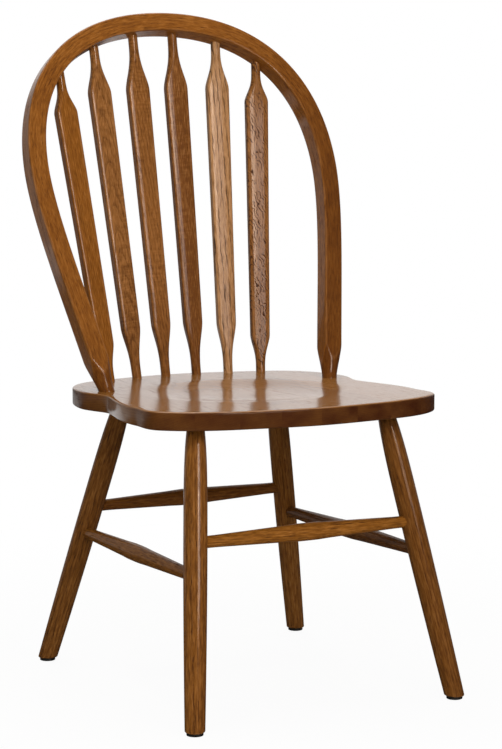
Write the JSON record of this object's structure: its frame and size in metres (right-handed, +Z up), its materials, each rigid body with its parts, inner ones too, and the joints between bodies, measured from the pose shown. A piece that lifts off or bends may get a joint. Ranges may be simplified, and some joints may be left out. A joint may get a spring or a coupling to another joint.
{
  "type": "arrow back dining chair",
  "caption": "Bow-back dining chair in stained oak with flat arrow-shaped spindles, a saddled solid seat, splayed turned legs and a box of turned stretchers.",
  "frame": {"origin": "on the floor, under the middle of the chair's outline seen from above", "axes": "+Z up, the chair faces -Y, +X is to the right of someone looking at its front"},
  "size_m": [0.5334, 0.579, 1.0198],
  "materials": {
    "seat_oak": "stained oak under a glossy clear lacquer",
    "bow_oak": "stained bent oak under a satin clear lacquer",
    "spindle_oak": "stained oak under a satin clear lacquer",
    "leg_oak": "stained turned oak under a satin clear lacquer",
    "stretcher_oak": "stained turned oak under a satin clear lacquer",
    "glide_plastic": "black moulded plastic",
    "nail_steel": "plain bright steel"
  },
  "bodies": {
    "root": {"seat": "seat_oak", "bow": "bow_oak", "spindle_1": "spindle_oak", "spindle_2": "spindle_oak", "spindle_3": "spindle_oak", "spindle_4": "spindle_oak", "spindle_5": "spindle_oak", "spindle_6": "spindle_oak", "leg_front_left": "leg_oak", "leg_front_right": "leg_oak", "leg_back_left": "leg_oak", "leg_back_right": "leg_oak", "stretcher_front": "stretcher_oak", "stretcher_back": "stretcher_oak", "stretcher_left": "stretcher_oak", "stretcher_right": "stretcher_oak", "glide_front_left": "glide_plastic", "glide_front_right": "glide_plastic", "glide_back_left": "glide_plastic", "glide_back_right": "glide_plastic", "glide_nail_front_left": "nail_steel", "glide_nail_front_right": "nail_steel", "glide_nail_back_left": "nail_steel", "glide_nail_back_right": "nail_steel"}
  },
  "joints": []
}
